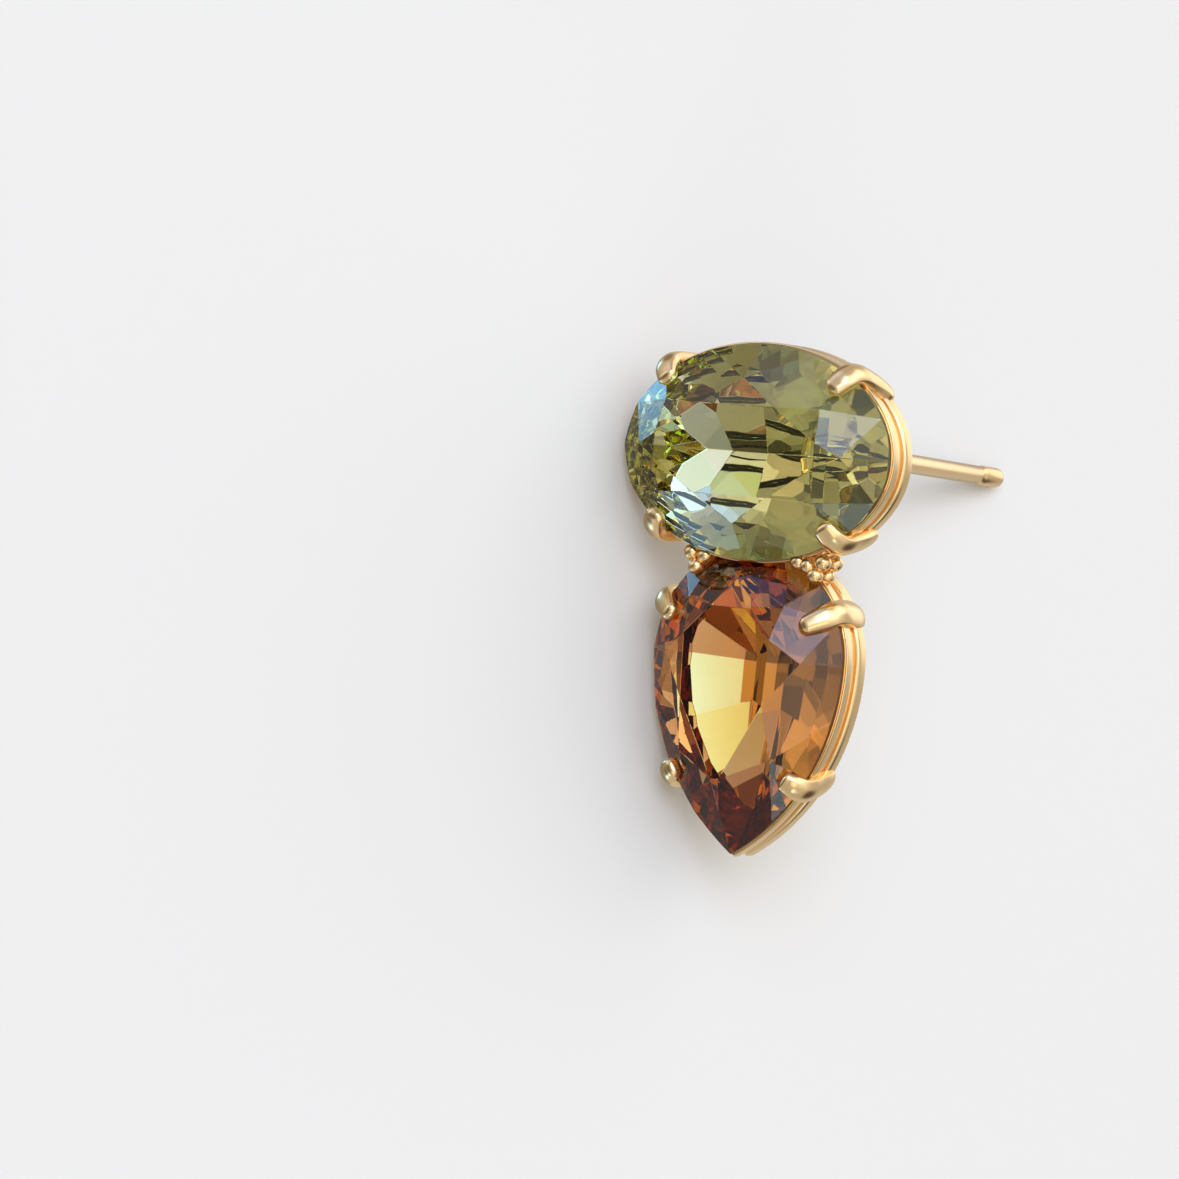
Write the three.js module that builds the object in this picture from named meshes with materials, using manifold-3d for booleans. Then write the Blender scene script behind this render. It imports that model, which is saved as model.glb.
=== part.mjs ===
// A two-stone stud earring: an oval stone over a pear stone in one soldered metal
// setting, with claws, bead clusters and a post. Millimetres, +Z up.
//
// The pieces are drawn in the earring's own axes (X across the face, Y from the face
// back along the post, Z up the face, origin in the middle of the oval's girdle).
// The group is then turned to lie as the earring lies on a table by itself.
import * as THREE from "three";
import { ConvexHull } from "three/addons/math/ConvexHull.js";
import { mergeVertices } from "three/addons/utils/BufferGeometryUtils.js";
import Module from "manifold-3d";

// ---- driving dimensions ----------------------------------------------------------

// Oval stone: half width and half height of its girdle.
const OVAL_HALF_WIDTH = 5.0;
const OVAL_HALF_HEIGHT = 3.5;
// Pear stone: the round head's radius, the whole length, and where it sits.
const PEAR_HEAD_RADIUS = 3.57;
const PEAR_LENGTH = 10.0;
const PEAR_TIP_Z = -13.07;
const PEAR_RECESS = 0.6;
// Both stones are brilliant cut, their facets at the same slope all the way round, so
// each ends in a keel along its middle. crown: the table's height over the girdle.
// slopes: the angles to the face of the main facets in front and behind, and of the
// flatter row at the culet. mains: how many facets there are in a row. starts: where the
// rows behind start, in facets. star: how far up the crown the star facets come down.
// lower: how far down the back the lower girdle facets reach. culet: how far in from the
// edge the culet's row starts.
const GIRDLE = 0.2;
const OVAL_CUT = {
  crown: 1.3,
  slopes: { crown: 35, pavilion: 36, culet: 32.5 },
  mains: { crown: 8, pavilion: 12 },
  starts: { pavilion: 0, culet: 0.5 },
  star: 0.75,
  lower: 0.76,
  culet: 1.4,
};
const PEAR_CUT = {
  crown: 1.37,
  slopes: { crown: 36.8, pavilion: 36.8, culet: 25 },
  mains: { crown: 8, pavilion: 12 },
  starts: { pavilion: 0.5, culet: 0.5 },
  star: 0.66,
  lower: 0.57,
  culet: 1.4,
};
const STONE_STEPS = 6; // outline points to a sixteenth of the outline
// Room between a stone and the metal round it.
const STONE_GAP = 0.05;

// Collar behind each girdle: a front rail, a groove and a back rail.
const COLLAR_FRONT = 0.24; // behind the front edge of the girdle
const RAIL_PROUD = 0.08; // outside the girdle's outline
const RAIL_ROUND = 0.07;
const GROOVE_IN = 0.12; // the groove's floor, inside the girdle's outline
const OVAL_RAILS = { front: 0.4, groove: 0.32, back: 0.5 };
const PEAR_RAILS = { front: 0.38, groove: 0.34, back: 0.51 };
const COLLAR_STEPS = 3;
// Closed pan behind each collar.
const PAN_MOUTH_SHARE = 0.76;
const PAN_FLOOR_SHARE = 0.34;
const PAN_DEPTH = 3.5; // from the girdle's front edge to the flat back

// Claws. x, z: where one crosses the outline. lean: the way it points over the crown,
// in degrees above +X. reach: how far inside the outline its tip ends. tip: the tip's
// width as a share of the claw's. drift: how far its foot stands from where it crosses,
// round the outline towards the stone's widest place, for the +X and the -X claw.
const CLAW_HALF_WIDTH = 0.41;
const CLAW_HALF_THICKNESS = 0.25;
// The rounding of a claw's two ends: how far along it, and how much of the size is left.
const CLAW_END = [
  [0, 1],
  [0.4, 0.92],
  [0.7, 0.71],
  [0.88, 0.47],
  [0.97, 0.24],
  [1, 0.1],
];
const OVAL_CLAWS = [
  { x: 3.43, z: 2.61, lean: 54, reach: 0.68, tip: 0.9, drift: [0.8, -0.25] },
  { x: 3.43, z: -2.64, lean: -56, reach: 0.62, tip: 0.9, drift: [0.5, -0.2] },
];
const PEAR_CLAWS = [
  {
    x: 3.17,
    z: PEAR_TIP_Z + 8.05,
    lean: 33,
    reach: 0.9,
    tip: 0.78,
    drift: [0, 0],
  },
  {
    x: 2.44,
    z: PEAR_TIP_Z + 2.42,
    lean: -31,
    reach: 0.52,
    tip: 0.85,
    drift: [0.42, 0],
  },
];

// Bead clusters in the wedges between the two collars: x, z, in two rows.
const BEAD_RADIUS = 0.27;
const BEADS = [
  [2.74, -3.37],
  [2.47, -3.8],
  [2.18, -3.52],
  [1.82, -3.42],
  [-2.24, -3.4],
  [-2.04, -3.85],
  [-1.72, -3.48],
];
const BEAD_ROWS = [0.34, 1.08];

// Post, soldered to the oval's pan.
const POST_RADIUS = 0.33;
const POST_Z = 0.33;
const POST_LEAN = 1.8; // degrees, its end lower than its foot
const POST_LENGTH = 13.1; // from the ear pad to its end
const POST_FOOT_RADIUS = 0.5;
// Flat round ear pad, square to the post, soldered over the pan's floor.
const PAD_RADIUS = 1.45;
const PAD_THICKNESS = 0.15;
const POST_NOTCH_RADIUS = 0.27;
const POST_BULB_RADIUS = 0.35;
const POST_SIDES = 20;

// Densities in g/cm3, for finding how the earring lies.
const METAL_DENSITY = 8.5;
const STONE_DENSITY = 2.6;

// ---- solids ----------------------------------------------------------------------

const wasm = await Module();
wasm.setup();

/** The geometry as a manifold-3d solid. */
function solid(geometry) {
  const bare = new THREE.BufferGeometry();
  bare.setAttribute("position", geometry.getAttribute("position"));
  if (geometry.index) bare.setIndex(geometry.index);
  const merged = mergeVertices(bare, 1e-5);
  return new wasm.Manifold(
    new wasm.Mesh({
      numProp: 3,
      vertProperties: merged.attributes.position.array,
      triVerts: new Uint32Array(merged.index.array),
    }),
  );
}

/** The solid as a geometry, with flat faces. */
function geometryOf(made) {
  const mesh = made.getMesh();
  const positions = new Float32Array(mesh.numVert * 3);
  for (let i = 0; i < mesh.numVert; i++)
    positions.set(
      mesh.vertProperties.subarray(i * mesh.numProp, i * mesh.numProp + 3),
      i * 3,
    );
  const geometry = new THREE.BufferGeometry();
  geometry.setAttribute("position", new THREE.BufferAttribute(positions, 3));
  geometry.setIndex(new THREE.BufferAttribute(mesh.triVerts, 1));
  return geometry.toNonIndexed();
}

/**
 * A closed skin over a row of rings with the same number of points, each end closed by
 * a fan from the ring's middle.
 */
function loft(rings) {
  const count = rings[0].length;
  const middle = (ring) =>
    ring
      .reduce((sum, p) => sum.add(p), new THREE.Vector3())
      .divideScalar(count);
  const faces = [];
  rings.slice(1).forEach((ring, r) => {
    const before = rings[r];
    for (let i = 0; i < count; i++) {
      const j = (i + 1) % count;
      faces.push(before[i], before[j], ring[j], before[i], ring[j], ring[i]);
    }
  });
  const first = rings[0];
  const last = rings[rings.length - 1];
  for (let i = 0; i < count; i++) {
    const j = (i + 1) % count;
    faces.push(middle(first), first[j], first[i]);
    faces.push(middle(last), last[i], last[j]);
  }
  const geometry = new THREE.BufferGeometry().setFromPoints(faces);
  const made = solid(geometry);
  if (made.volume() > 0) return made;
  for (let i = 0; i < faces.length; i += 3)
    [faces[i + 1], faces[i + 2]] = [faces[i + 2], faces[i + 1]];
  return solid(new THREE.BufferGeometry().setFromPoints(faces));
}

const union = (solids) =>
  solids.slice(1).reduce((sum, next) => sum.add(next), solids[0]);

// ---- outlines --------------------------------------------------------------------
// An outline gives, for a place s from 0 to 16 round it, the girdle point and the
// outward normal in the face plane. s is 0 at +X, 4 at the top, 8 at -X, 12 at the
// bottom. inset is the outline's deepest place, from its nearest edge.

const oval = {
  centre: new THREE.Vector2(0, 0),
  front: 0,
  inset: OVAL_HALF_HEIGHT,
  cut: OVAL_CUT,
  at(s) {
    const turn = (s * Math.PI) / 8;
    const x = Math.cos(turn);
    const z = Math.sin(turn);
    return {
      point: new THREE.Vector2(OVAL_HALF_WIDTH * x, OVAL_HALF_HEIGHT * z),
      normal: new THREE.Vector2(
        x / OVAL_HALF_WIDTH,
        z / OVAL_HALF_HEIGHT,
      ).normalize(),
      mitre: 1,
    };
  },
};

const pear = {
  centre: new THREE.Vector2(0, PEAR_TIP_Z + PEAR_LENGTH - PEAR_HEAD_RADIUS),
  front: PEAR_RECESS,
  inset: PEAR_HEAD_RADIUS,
  cut: PEAR_CUT,
  at(s) {
    const r = PEAR_HEAD_RADIUS;
    const drop = PEAR_LENGTH - r; // from the head's centre to the tip
    const head = PEAR_TIP_Z + drop;
    if (s <= 8 || s >= 16) {
      const turn = (s * Math.PI) / 8;
      const normal = new THREE.Vector2(Math.cos(turn), Math.sin(turn));
      return {
        point: new THREE.Vector2(r * normal.x, head + r * normal.y),
        normal,
        mitre: 1,
      };
    }
    // The sides are arcs that leave the head smoothly and meet at the tip.
    const big = (r * r + drop * drop) / (2 * r);
    const full = Math.atan2(drop, big - r);
    if (Math.abs(s - 12) < 1e-6)
      return {
        point: new THREE.Vector2(0, PEAR_TIP_Z),
        normal: new THREE.Vector2(0, -1),
        mitre: 1 / Math.sin(full),
      };
    const left = s < 12;
    const turn = full * (left ? (s - 8) / 4 : (16 - s) / 4);
    const side = left ? -1 : 1;
    return {
      point: new THREE.Vector2(
        side * (r - big + big * Math.cos(turn)),
        head - big * Math.sin(turn),
      ),
      normal: new THREE.Vector2(side * Math.cos(turn), -Math.sin(turn)),
      mitre: 1,
    };
  },
};

/** The outline moved out by offset, drawn to a share of its size, at depth y. */
function ring(outline, steps, y, offset = 0, share = 1) {
  const points = [];
  for (let i = 0; i < 16 * steps; i++) {
    const { point, normal, mitre } = outline.at(i / steps);
    const p = point
      .clone()
      .sub(outline.centre)
      .multiplyScalar(share)
      .add(outline.centre)
      .addScaledVector(normal, offset * mitre);
    points.push(new THREE.Vector3(p.x, outline.front + y, p.y));
  }
  return points;
}

// ---- stones ----------------------------------------------------------------------

/** The slope of an angle in degrees. */
const slope = (angle) => Math.tan(THREE.MathUtils.degToRad(angle));

/** The facet planes of a brilliant cut on this outline, their normals pointing out. */
function facets(outline) {
  const { cut } = outline;
  const inside = new THREE.Vector3(outline.centre.x, outline.front, outline.centre.y);
  inside.y += GIRDLE / 2;
  const planes = [];
  const through = (a, b, c) => {
    const plane = new THREE.Plane().setFromCoplanarPoints(a, b, c);
    if (plane.distanceToPoint(inside) > 0) plane.negate();
    planes.push(plane);
  };
  // The place s of the outline, inset from its edge, at depth y behind the front.
  const place = (s, y, inset = 0) => {
    const { point, normal } = outline.at(s % 16);
    const p = point.clone().addScaledVector(normal, -inset);
    return new THREE.Vector3(p.x, outline.front + y, p.y);
  };
  // Where the main facets of two places meet, inset from both of their edges.
  const meeting = (s, t, y, inset) => {
    const a = outline.at(s % 16);
    const b = outline.at(t % 16);
    const ra = a.point.dot(a.normal) - inset;
    const rb = b.point.dot(b.normal) - inset;
    const det = a.normal.x * b.normal.y - a.normal.y * b.normal.x;
    return new THREE.Vector3(
      (ra * b.normal.y - rb * a.normal.y) / det,
      outline.front + y,
      (a.normal.x * rb - b.normal.x * ra) / det,
    );
  };
  // A facet through the place s at depth y that rises inwards at an angle.
  const main = (s, y, angle, inset = 0) => {
    const { normal } = outline.at(s % 16);
    const edge = place(s, y, inset);
    const along = edge.clone().add(new THREE.Vector3(-normal.y, 0, normal.x));
    const deeper = place(s, y + slope(angle), inset + 1);
    through(edge, along, deeper);
  };
  // The two girdle facets between two neighbouring mains, from the girdle at depth y to
  // the corner where they meet.
  const girdlePair = (s, next, y, corner) => {
    const half = place((s + next) / 2, y);
    through(corner, place(s, y), half);
    through(corner, place(next, y), half);
  };

  const table = -cut.crown;
  const ahead = new THREE.Vector3(0, -1, 0);
  const middle = new THREE.Vector3(0, outline.front + table, 0);
  planes.push(new THREE.Plane().setFromNormalAndCoplanarPoint(ahead, middle));

  const crownStep = 16 / cut.mains.crown;
  const tableInset = cut.crown / slope(cut.slopes.crown);
  for (let s = crownStep / 2; s < 16; s += crownStep) {
    const next = s + crownStep;
    main(s, 0, -cut.slopes.crown);
    const corner = meeting(s, next, cut.star * table, cut.star * tableInset);
    girdlePair(s, next, 0, corner);
    through(corner, place(s, table, tableInset), place(next, table, tableInset));
  }

  const step = 16 / cut.mains.pavilion;
  const steep = slope(cut.slopes.pavilion);
  for (let k = 0; k < cut.mains.pavilion; k++) {
    const s = (k + cut.starts.pavilion) * step;
    const lower = cut.lower * outline.inset;
    main(s, GIRDLE, cut.slopes.pavilion);
    girdlePair(s, s + step, GIRDLE, meeting(s, s + step, GIRDLE + lower * steep, lower));
    const culet = (k + cut.starts.culet) * step;
    main(culet, GIRDLE + cut.culet * steep, cut.slopes.culet, cut.culet);
  }
  return planes;
}

/** The stone, or with grow the room it needs in the metal. */
function stone(outline, grow = 0) {
  const spare = grow + 0.1;
  const { cut, inset } = outline;
  const back = GIRDLE + inset * slope(cut.slopes.pavilion) + spare;
  let made = loft([
    ring(outline, STONE_STEPS, -cut.crown - spare, grow),
    ring(outline, STONE_STEPS, back, grow),
  ]);
  for (const plane of facets(outline)) {
    const inward = plane.normal.clone().negate();
    made = made.trimByPlane(inward.toArray(), plane.constant - grow);
  }
  return made;
}

// ---- metal -----------------------------------------------------------------------

/** Collar and closed pan of one stone, as a full body that the stone is cut from. */
function cup(outline, rails) {
  const frontEnd = COLLAR_FRONT + rails.front;
  const backStart = frontEnd + rails.groove;
  const backEnd = backStart + rails.back;
  const at = (y, offset, share) => ring(outline, COLLAR_STEPS, y, offset, share);
  return loft([
    at(COLLAR_FRONT, RAIL_PROUD),
    at(frontEnd - RAIL_ROUND, RAIL_PROUD),
    at(frontEnd, RAIL_PROUD - RAIL_ROUND),
    at(frontEnd, -GROOVE_IN),
    at(backStart, -GROOVE_IN),
    at(backStart, RAIL_PROUD - RAIL_ROUND),
    at(backStart + RAIL_ROUND, RAIL_PROUD),
    at(backEnd - RAIL_ROUND, RAIL_PROUD),
    at(backEnd, RAIL_PROUD - RAIL_ROUND),
    at(backEnd, 0, PAN_MOUTH_SHARE),
    at(PAN_DEPTH, 0, PAN_FLOOR_SHARE),
  ]);
}

/** One claw, swept from the back rail over the girdle on to the crown. */
function claw(outline, spec, side) {
  const lean = THREE.MathUtils.degToRad(spec.lean);
  const out = new THREE.Vector3(side * Math.cos(lean), 0, Math.sin(lean));
  const across = new THREE.Vector3(-out.z, 0, out.x);
  const back = new THREE.Vector3(0, 1, 0);
  const cross = new THREE.Vector3(side * spec.x, outline.front, spec.z);
  const widest = across.clone();
  if (widest.x * side < 0) widest.negate();
  const w = CLAW_HALF_WIDTH;
  const h = CLAW_HALF_THICKNESS;
  const tip = -spec.reach;
  const narrow = spec.tip;
  const drift = spec.drift[side > 0 ? 0 : 1];
  const nose = Math.min(0.3, -0.45 * tip);
  const middle = (tip + nose - 0.06) / 2;
  const lies = (d, thickness) => 0.69 * d - 0.05 - thickness;
  // Out of the outline, depth, half width, half thickness.
  const stations = [
    ...[...CLAW_END]
      .reverse()
      .map(([t, k]) => [
        0.06 - 0.1 * t,
        1.28 + 0.3 * t,
        1.08 * w * k,
        1.05 * h * k,
      ]),
    [0.13, 1.0, 1.12 * w, 1.06 * h],
    [0.17, 0.6, 1.12 * w, 1.08 * h],
    [0.19, 0.24, 1.08 * w, 1.08 * h],
    [0.12, -0.08, 1.02 * w, 1.04 * h],
    [-0.06, -0.32, w, h],
    [middle, lies(middle, 0.95 * h), (0.5 + 0.5 * narrow) * w, 0.97 * h],
    ...CLAW_END.map(([t, k]) => {
      const d = tip + nose * (1 - t);
      return [
        d,
        lies(d, 0.9 * h * (0.6 + 0.4 * k)),
        narrow * w * k,
        0.9 * h * k,
      ];
    }),
  ];
  const foot = stations[0][1];
  const centres = stations.map(([d, y]) =>
    cross
      .clone()
      .addScaledVector(out, d)
      .addScaledVector(back, y)
      .addScaledVector(widest, drift * Math.max(0, (y + 0.3) / (foot + 0.3)) ** 2)
      .addScaledVector(out, -0.06 * Math.abs(drift) * Math.max(0, y)),
  );
  const rings = stations.map(([, , halfWidth, halfThickness], i) => {
    const way = centres[Math.min(i + 1, centres.length - 1)]
      .clone()
      .sub(centres[Math.max(i - 1, 0)])
      .normalize();
    const up = new THREE.Vector3().crossVectors(way, across).normalize();
    const wide = new THREE.Vector3().crossVectors(up, way);
    const points = [];
    for (let k = 0; k < 12; k++) {
      const turn = (k * Math.PI) / 6;
      const c = Math.cos(turn);
      const s = Math.sin(turn);
      // Fuller than an ellipse, so the claw has shoulders.
      points.push(
        centres[i]
          .clone()
          .addScaledVector(wide, halfWidth * Math.sign(c) * Math.abs(c) ** 0.8)
          .addScaledVector(up, halfThickness * Math.sign(s) * Math.abs(s) ** 0.8),
      );
    }
    return points;
  });
  return loft(rings);
}

/** A bead of the clusters. */
function bead(x, y, z) {
  return solid(
    new THREE.IcosahedronGeometry(BEAD_RADIUS, 1).translate(x, y, z),
  );
}

/** The ear pad and post, with the post's soldered foot, notch and rounded end. */
function post() {
  const profile = [
    [PAD_RADIUS, -0.35],
    [PAD_RADIUS, 0],
    [POST_FOOT_RADIUS, 0],
    [POST_RADIUS, 0.2],
    [POST_RADIUS, POST_LENGTH - 1.85],
    [POST_NOTCH_RADIUS, POST_LENGTH - 1.75],
    [POST_NOTCH_RADIUS, POST_LENGTH - 1.55],
    [POST_BULB_RADIUS, POST_LENGTH - 1.4],
    [POST_BULB_RADIUS, POST_LENGTH - 0.4],
    [0.86 * POST_BULB_RADIUS, POST_LENGTH - 0.17],
    [0.57 * POST_BULB_RADIUS, POST_LENGTH - 0.04],
    [0.35 * POST_BULB_RADIUS, POST_LENGTH],
  ];
  const place = new THREE.Matrix4()
    .makeTranslation(0, PAN_DEPTH + PAD_THICKNESS, POST_Z)
    .multiply(
      new THREE.Matrix4().makeRotationX(-THREE.MathUtils.degToRad(POST_LEAN)),
    );
  return loft(
    profile.map(([radius, y]) => {
      const points = [];
      for (let k = 0; k < POST_SIDES; k++) {
        const turn = (2 * Math.PI * k) / POST_SIDES;
        points.push(
          new THREE.Vector3(
            radius * Math.cos(turn),
            y,
            radius * Math.sin(turn),
          ).applyMatrix4(place),
        );
      }
      return points;
    }),
  );
}

const metalParts = [cup(oval, OVAL_RAILS), cup(pear, PEAR_RAILS), post()];
for (const side of [1, -1]) {
  for (const spec of OVAL_CLAWS) metalParts.push(claw(oval, spec, side));
  for (const spec of PEAR_CLAWS) metalParts.push(claw(pear, spec, side));
}
for (const y of BEAD_ROWS)
  for (const [x, z] of BEADS) metalParts.push(bead(x, y, z));
const metal = union(metalParts)
  .subtract(stone(oval, STONE_GAP))
  .subtract(stone(pear, STONE_GAP));

// ---- how it lies -----------------------------------------------------------------

/** Volume and centre of a solid's mesh. */
function volumeAndCentre(geometry) {
  const p = geometry.getAttribute("position");
  const a = new THREE.Vector3();
  const b = new THREE.Vector3();
  const c = new THREE.Vector3();
  const centre = new THREE.Vector3();
  let volume = 0;
  for (let i = 0; i < p.count; i += 3) {
    a.fromBufferAttribute(p, i);
    b.fromBufferAttribute(p, i + 1);
    c.fromBufferAttribute(p, i + 2);
    const v = a.dot(new THREE.Vector3().crossVectors(b, c)) / 6;
    volume += v;
    centre.addScaledVector(a.add(b).add(c), v / 4);
  }
  return { volume, centre: centre.divideScalar(volume) };
}

/**
 * The outward normal of the hull face that the pieces rest on: the one nearest to the
 * wanted direction with the centre of mass over it.
 */
function restingNormal(pieces, wanted) {
  const centre = new THREE.Vector3();
  let mass = 0;
  const points = [];
  for (const { geometry, density } of pieces) {
    const of = volumeAndCentre(geometry);
    centre.addScaledVector(of.centre, of.volume * density);
    mass += of.volume * density;
    const p = geometry.getAttribute("position");
    for (let i = 0; i < p.count; i++)
      points.push(new THREE.Vector3().fromBufferAttribute(p, i));
  }
  centre.divideScalar(mass);
  const hull = new ConvexHull().setFromPoints(points);
  let best = null;
  for (const face of hull.faces) {
    let edge = face.edge;
    let margin = Infinity;
    do {
      const from = edge.tail().point;
      const to = edge.head().point;
      const inward = new THREE.Vector3()
        .crossVectors(face.normal, to.clone().sub(from))
        .normalize();
      margin = Math.min(margin, centre.clone().sub(from).dot(inward));
      edge = edge.next;
    } while (edge !== face.edge);
    if (margin <= 0) continue;
    const score = face.normal.dot(wanted);
    if (!best || score > best.score)
      best = { score, margin, normal: face.normal.clone() };
  }
  return best.normal;
}

// ---- the group -------------------------------------------------------------------

const gold = new THREE.MeshStandardMaterial({
  color: 0xe0b67c,
  roughness: 0.2,
  metalness: 1,
});
const olive = new THREE.MeshStandardMaterial({
  color: 0x9a9a46,
  roughness: 0.05,
  metalness: 0.1,
});
const topaz = new THREE.MeshStandardMaterial({
  color: 0xb0641c,
  roughness: 0.05,
  metalness: 0.1,
});

const pieces = [
  { name: "setting", made: metal, material: gold, density: METAL_DENSITY },
  { name: "oval_stone", made: stone(oval), material: olive, density: STONE_DENSITY },
  { name: "pear_stone", made: stone(pear), material: topaz, density: STONE_DENSITY },
].map((piece) => ({ ...piece, geometry: geometryOf(piece.made) }));

// It lies on the post's end and the -X side of the two collars.
const down = restingNormal(pieces, new THREE.Vector3(-0.8, 0.6, 0).normalize());
const up = down.clone().negate();
const yAxis = new THREE.Vector3(0, 0, 1).projectOnPlane(up).normalize();
const xAxis = new THREE.Vector3().crossVectors(yAxis, up);
const turn = new THREE.Matrix4().makeBasis(xAxis, yAxis, up).transpose();

const earring = new THREE.Group();
earring.name = "two_stone_stud_earring";
for (const { name, geometry, material } of pieces) {
  const mesh = new THREE.Mesh(geometry, material);
  mesh.name = name;
  earring.add(mesh);
}
earring.applyMatrix4(turn);
earring.updateMatrixWorld(true);
const box = new THREE.Box3().setFromObject(earring, true);
earring.position.set(
  -(box.min.x + box.max.x) / 2,
  -(box.min.y + box.max.y) / 2,
  -box.min.z,
);

export default earring;
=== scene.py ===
"""Looks of a two-stone stud earring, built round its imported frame.

The earring lies on a pale floor on its post's end and on one side of its two collars.
Every piece is drawn in the earring's own axes, in millimetres: x across the face, y from
the face back along the post, z up the face, with the origin in the middle of the oval
stone's girdle. `EarringAxes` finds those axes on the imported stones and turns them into
the frame's metres.
"""

from __future__ import annotations

import logging
import math
from collections.abc import Iterable, Sequence
from dataclasses import dataclass
from enum import Enum
from typing import ClassVar, NamedTuple

import bmesh
import bpy
from mathutils import Matrix, Vector


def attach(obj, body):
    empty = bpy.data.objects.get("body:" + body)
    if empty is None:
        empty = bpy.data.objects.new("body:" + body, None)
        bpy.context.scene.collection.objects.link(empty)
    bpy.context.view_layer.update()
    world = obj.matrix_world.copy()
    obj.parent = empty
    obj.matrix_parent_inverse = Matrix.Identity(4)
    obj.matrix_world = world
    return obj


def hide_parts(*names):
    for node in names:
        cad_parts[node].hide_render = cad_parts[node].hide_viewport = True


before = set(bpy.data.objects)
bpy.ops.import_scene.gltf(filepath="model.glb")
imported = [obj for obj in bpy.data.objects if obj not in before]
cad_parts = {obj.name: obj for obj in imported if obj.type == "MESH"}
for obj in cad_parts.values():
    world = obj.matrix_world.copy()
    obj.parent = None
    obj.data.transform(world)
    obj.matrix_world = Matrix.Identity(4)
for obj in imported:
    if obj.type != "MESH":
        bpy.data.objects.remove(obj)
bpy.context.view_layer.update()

LOG = logging.getLogger("stud_earring")
MM = 0.001
WELD = 1e-8  # points this close, in metres, are one
BODY = "root"

Colour = tuple[float, float, float, float]


class Slot(Enum):
    """The record's material slots."""

    GOLD = "gold"
    OLIVE = "olive_stone"
    AMBER = "amber_stone"


# ---- axes ------------------------------------------------------------------------------


@dataclass(frozen=True)
class EarringAxes:
    """The earring's own axes in the frame.

    Args:
        origin: the middle of the oval's girdle, in metres.
        across: unit vector across the face.
        back: unit vector from the face back along the post.
        up: unit vector up the face.
    """

    origin: Vector
    across: Vector
    back: Vector
    up: Vector

    def point(self, x: float, y: float, z: float) -> Vector:
        """Returns a place given in the earring's millimetres, in the frame's metres."""
        return self.origin + MM * self.direction(x, y, z)

    def direction(self, x: float, y: float, z: float) -> Vector:
        """Returns a direction given in the earring's axes, in the frame."""
        return x * self.across + y * self.back + z * self.up

    @classmethod
    def measured(cls, oval: bpy.types.Object, pear: bpy.types.Object) -> EarringAxes:
        """Finds the axes on the two packed stones.

        Args:
            oval: the oval stone's node.
            pear: the pear stone's node.

        Returns:
            The axes. The oval's table gives the way the face looks, and the two stones'
            middles give the way up it.
        """
        table_normal, table_point = largest_facet(oval)
        back = -table_normal
        oval_middle = volume_middle(oval)
        rise = oval_middle - volume_middle(pear)
        up = (rise - rise.dot(back) * back).normalized()
        depth = (table_point - oval_middle).dot(back) + OvalStoneSizes.crown * MM
        return cls(oval_middle + depth * back, back.cross(up), back, up)


def largest_facet(node: bpy.types.Object) -> tuple[Vector, Vector]:
    """Finds a cut stone's largest flat facet.

    Args:
        node: the stone's node, a mesh of triangles.

    Returns:
        Its outward unit normal and a point on it.
    """
    fineness = 50  # steps to a unit, so that one facet's triangles share a key
    sums: dict[tuple[int, ...], Vector] = {}
    points: dict[tuple[int, ...], Vector] = {}
    for face in node.data.polygons:
        key = tuple(round(part * fineness) for part in face.normal)
        sums[key] = sums.get(key, Vector()) + face.area * face.normal
        points[key] = face.center.copy()
    best = max(sums, key=lambda key: sums[key].length)
    return sums[best].normalized(), points[best]


def volume_middle(node: bpy.types.Object) -> Vector:
    """Returns the middle of a closed mesh's volume."""
    total = 0.0
    middle = Vector()
    vertices = node.data.vertices
    for face in node.data.polygons:
        a, b, c = (vertices[i].co for i in face.vertices)
        volume = a.dot(b.cross(c))
        total += volume
        middle += volume * (a + b + c) / 4
    return middle / total


# ---- outlines --------------------------------------------------------------------------


class Place(NamedTuple):
    """A place on an outline: where it is, which way is out, how far a corner's mitre
    reaches past a plain offset, and how far inwards an offset can go from here before it
    meets the one from the other side."""

    x: float
    z: float
    out_x: float
    out_z: float
    mitre: float = 1.0
    room: float = 2.0


@dataclass(frozen=True)
class OvalStoneSizes:
    """Sizes of the oval stone and its collar, in millimetres."""

    half_width: float = 5.0
    half_height: float = 3.5
    crown: float = 1.3
    front: float = 0.0
    rail_front: float = 0.4
    groove: float = 0.32
    rail_back: float = 0.5

    @property
    def centre(self) -> tuple[float, float]:
        """The place the pan narrows towards, across and up the face."""
        return (0.0, 0.0)

    def at(self, s: float) -> Place:
        """Returns the girdle's place at s, which goes from 0 to 16 once round."""
        turn = s * math.pi / 8
        x, z = math.cos(turn), math.sin(turn)
        out = Vector((x / self.half_width, z / self.half_height)).normalized()
        return Place(self.half_width * x, self.half_height * z, out.x, out.y)


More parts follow.
